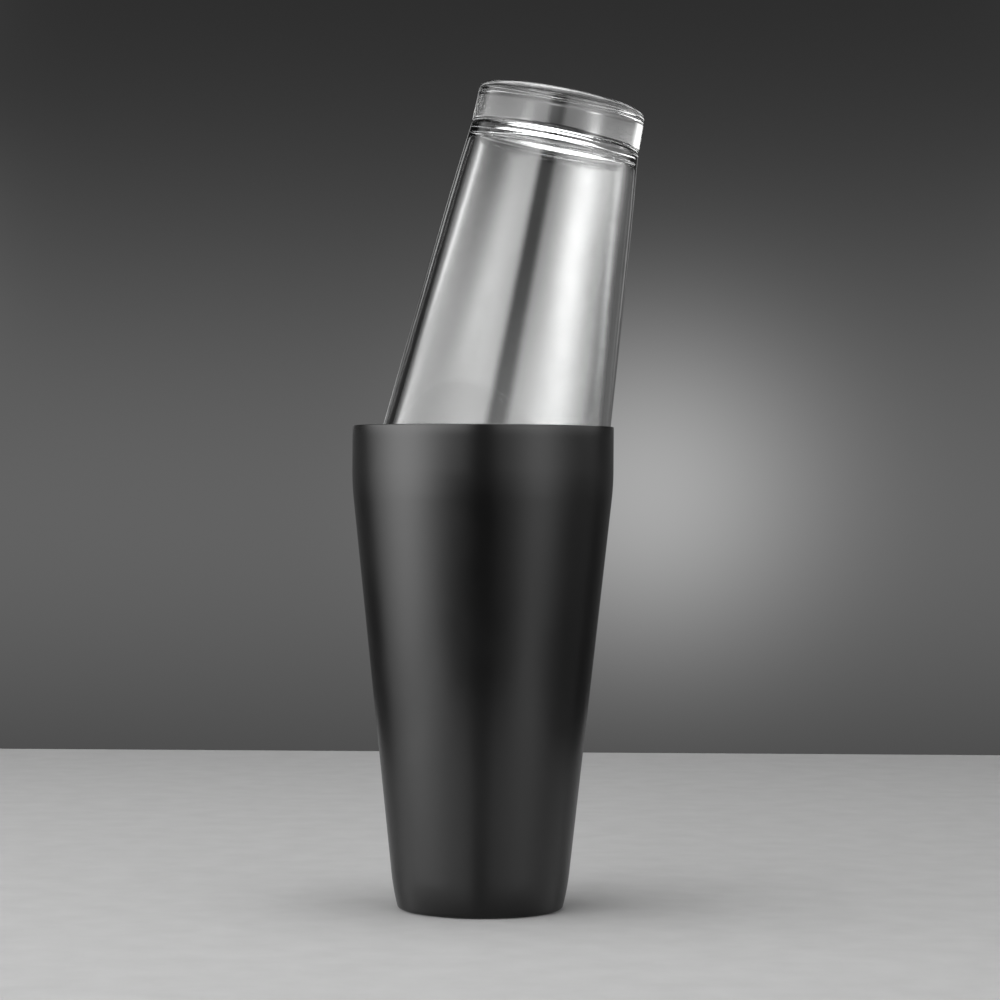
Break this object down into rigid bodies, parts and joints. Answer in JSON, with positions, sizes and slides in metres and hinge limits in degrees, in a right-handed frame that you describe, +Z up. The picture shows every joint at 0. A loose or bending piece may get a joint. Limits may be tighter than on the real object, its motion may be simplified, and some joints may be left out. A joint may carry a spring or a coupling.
{
  "type": "cocktail shaker set",
  "caption": "Shaker tin with a plain straight-banded lip, and a heavy-based mixing glass set mouth down at a lean in its mouth.",
  "frame": {"origin": "centre of the tin's flat base, on the tin's axis", "axes": "+Z up along the tin's axis; the glass leans towards +X, so the XZ plane is the plane of symmetry"},
  "size_m": [0.1019, 0.092, 0.2905],
  "materials": {
    "black_powder_coat": "matte",
    "clear_glass": "gloss"
  },
  "bodies": {
    "tin": {"shaker_tin": "black_powder_coat"},
    "glass": {"mixing_glass": "clear_glass"}
  },
  "joints": [
    {"name": "glass_lift", "type": "slide", "parent": "tin", "child": "glass", "axis": [0, 0, 1], "range_m": [0, 0.08]}
  ]
}
